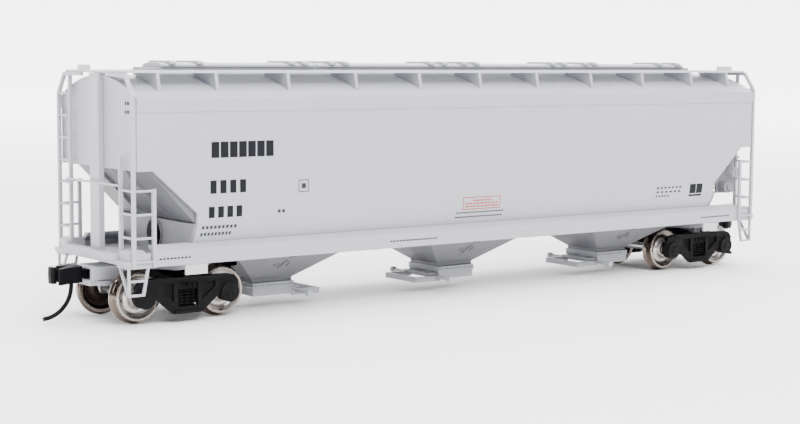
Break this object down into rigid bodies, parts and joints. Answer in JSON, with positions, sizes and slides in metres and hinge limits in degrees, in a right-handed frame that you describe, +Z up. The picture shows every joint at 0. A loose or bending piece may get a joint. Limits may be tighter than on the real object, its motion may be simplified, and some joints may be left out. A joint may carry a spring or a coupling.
{
  "type": "three-bay covered hopper model car",
  "caption": "HO scale three-bay covered hopper wagon with curved sides, roof walkways, swivelling trucks, rolling wheels and knuckle couplers.",
  "frame": {"origin": "middle of the car in plan, at the lowest point of the wheel flanges (0.65 mm below the rail head)", "axes": "+X along the car towards the end with the brake gear, +Y to the left seen from that direction, +Z up"},
  "size_m": [0.2134, 0.0366, 0.0562],
  "materials": {
    "shell": "satin",
    "detail": "satin",
    "underside": "satin",
    "walkway": "matte",
    "truck": "matte",
    "wheel": "polished",
    "bright_steel": "brushed",
    "coupler": "satin"
  },
  "bodies": {
    "car": {"body_shell": "shell", "slope_sheets": "shell", "bolster_webs": "underside", "end_posts": "detail", "side_sills": "shell", "end_platform_a": "detail", "end_platform_b": "detail", "underframe": "underside", "hopper_bay_1": "underside", "hopper_bay_2": "underside", "hopper_bay_3": "underside", "gate_frames": "underside", "gate_slides": "underside", "gate_shafts": "underside", "placard_plates": "walkway", "roof_brackets": "detail", "roofwalk_left": "walkway", "roofwalk_right": "walkway", "roof_end_walks": "walkway", "hatch_coaming": "detail", "hatch_covers": "shell", "hatch_latches": "detail", "ladders_full": "detail", "ladders_short": "detail", "stirrups": "detail", "end_handrails": "detail", "brake_wheel": "detail", "brake_housing": "detail", "brake_cylinder": "detail", "air_reservoir": "detail", "brake_pipes": "detail", "draft_boxes": "detail", "draft_lids": "detail", "lid_screws": "bright_steel", "steel_weight": "bright_steel", "kingpin_screws": "bright_steel", "coupler_springs": "bright_steel"},
    "truck_a": {"truck_a_bolster": "truck", "truck_a_sideframes": "truck", "truck_a_springs": "truck", "truck_a_brake_beams": "truck"},
    "truck_b": {"truck_b_bolster": "truck", "truck_b_sideframes": "truck", "truck_b_springs": "truck", "truck_b_brake_beams": "truck"},
    "wheelset_1": {"wheels_1": "wheel", "axle_1": "bright_steel"},
    "wheelset_2": {"wheels_2": "wheel", "axle_2": "bright_steel"},
    "wheelset_3": {"wheels_3": "wheel", "axle_3": "bright_steel"},
    "wheelset_4": {"wheels_4": "wheel", "axle_4": "bright_steel"},
    "coupler_a": {"coupler_a": "coupler", "trip_pin_a": "coupler"},
    "knuckle_a": {"knuckle_a": "coupler"},
    "coupler_b": {"coupler_b": "coupler", "trip_pin_b": "coupler"},
    "knuckle_b": {"knuckle_b": "coupler"}
  },
  "joints": [
    {"name": "truck_a_swivel", "type": "hinge", "parent": "car", "child": "truck_a", "pos_m": [-0.0792, 0, 0.0104], "axis": [0, 0, 1], "range_deg": [-8, 8]},
    {"name": "truck_b_swivel", "type": "hinge", "parent": "car", "child": "truck_b", "pos_m": [0.0792, 0, 0.0104], "axis": [0, 0, 1], "range_deg": [-8, 8]},
    {"name": "wheelset_1_spin", "type": "hinge", "parent": "truck_a", "child": "wheelset_1", "pos_m": [-0.0894, 0, 0.0059], "axis": [0, 1, 0], "continuous": true},
    {"name": "wheelset_2_spin", "type": "hinge", "parent": "truck_a", "child": "wheelset_2", "pos_m": [-0.069, 0, 0.0059], "axis": [0, 1, 0], "continuous": true},
    {"name": "wheelset_3_spin", "type": "hinge", "parent": "truck_b", "child": "wheelset_3", "pos_m": [0.069, 0, 0.0059], "axis": [0, 1, 0], "continuous": true},
    {"name": "wheelset_4_spin", "type": "hinge", "parent": "truck_b", "child": "wheelset_4", "pos_m": [0.0894, 0, 0.0059], "axis": [0, 1, 0], "continuous": true},
    {"name": "coupler_a_swing", "type": "hinge", "parent": "car", "child": "coupler_a", "pos_m": [-0.092, 0, 0.01058], "axis": [0, 0, 1], "range_deg": [-14, 14], "stiffness_Nm_per_rad": 0.002},
    {"name": "coupler_b_swing", "type": "hinge", "parent": "car", "child": "coupler_b", "pos_m": [0.092, 0, 0.01058], "axis": [0, 0, 1], "range_deg": [-14, 14], "stiffness_Nm_per_rad": 0.002},
    {"name": "knuckle_a_hinge", "type": "hinge", "parent": "coupler_a", "child": "knuckle_a", "pos_m": [-0.102, 0.002, 0.01058], "axis": [0, 0, 1], "range_deg": [-25, 0], "stiffness_Nm_per_rad": 0.001, "springref_deg": 5.73},
    {"name": "knuckle_b_hinge", "type": "hinge", "parent": "coupler_b", "child": "knuckle_b", "pos_m": [0.102, -0.002, 0.01058], "axis": [0, 0, 1], "range_deg": [-25, 0], "stiffness_Nm_per_rad": 0.001, "springref_deg": 5.73}
  ]
}
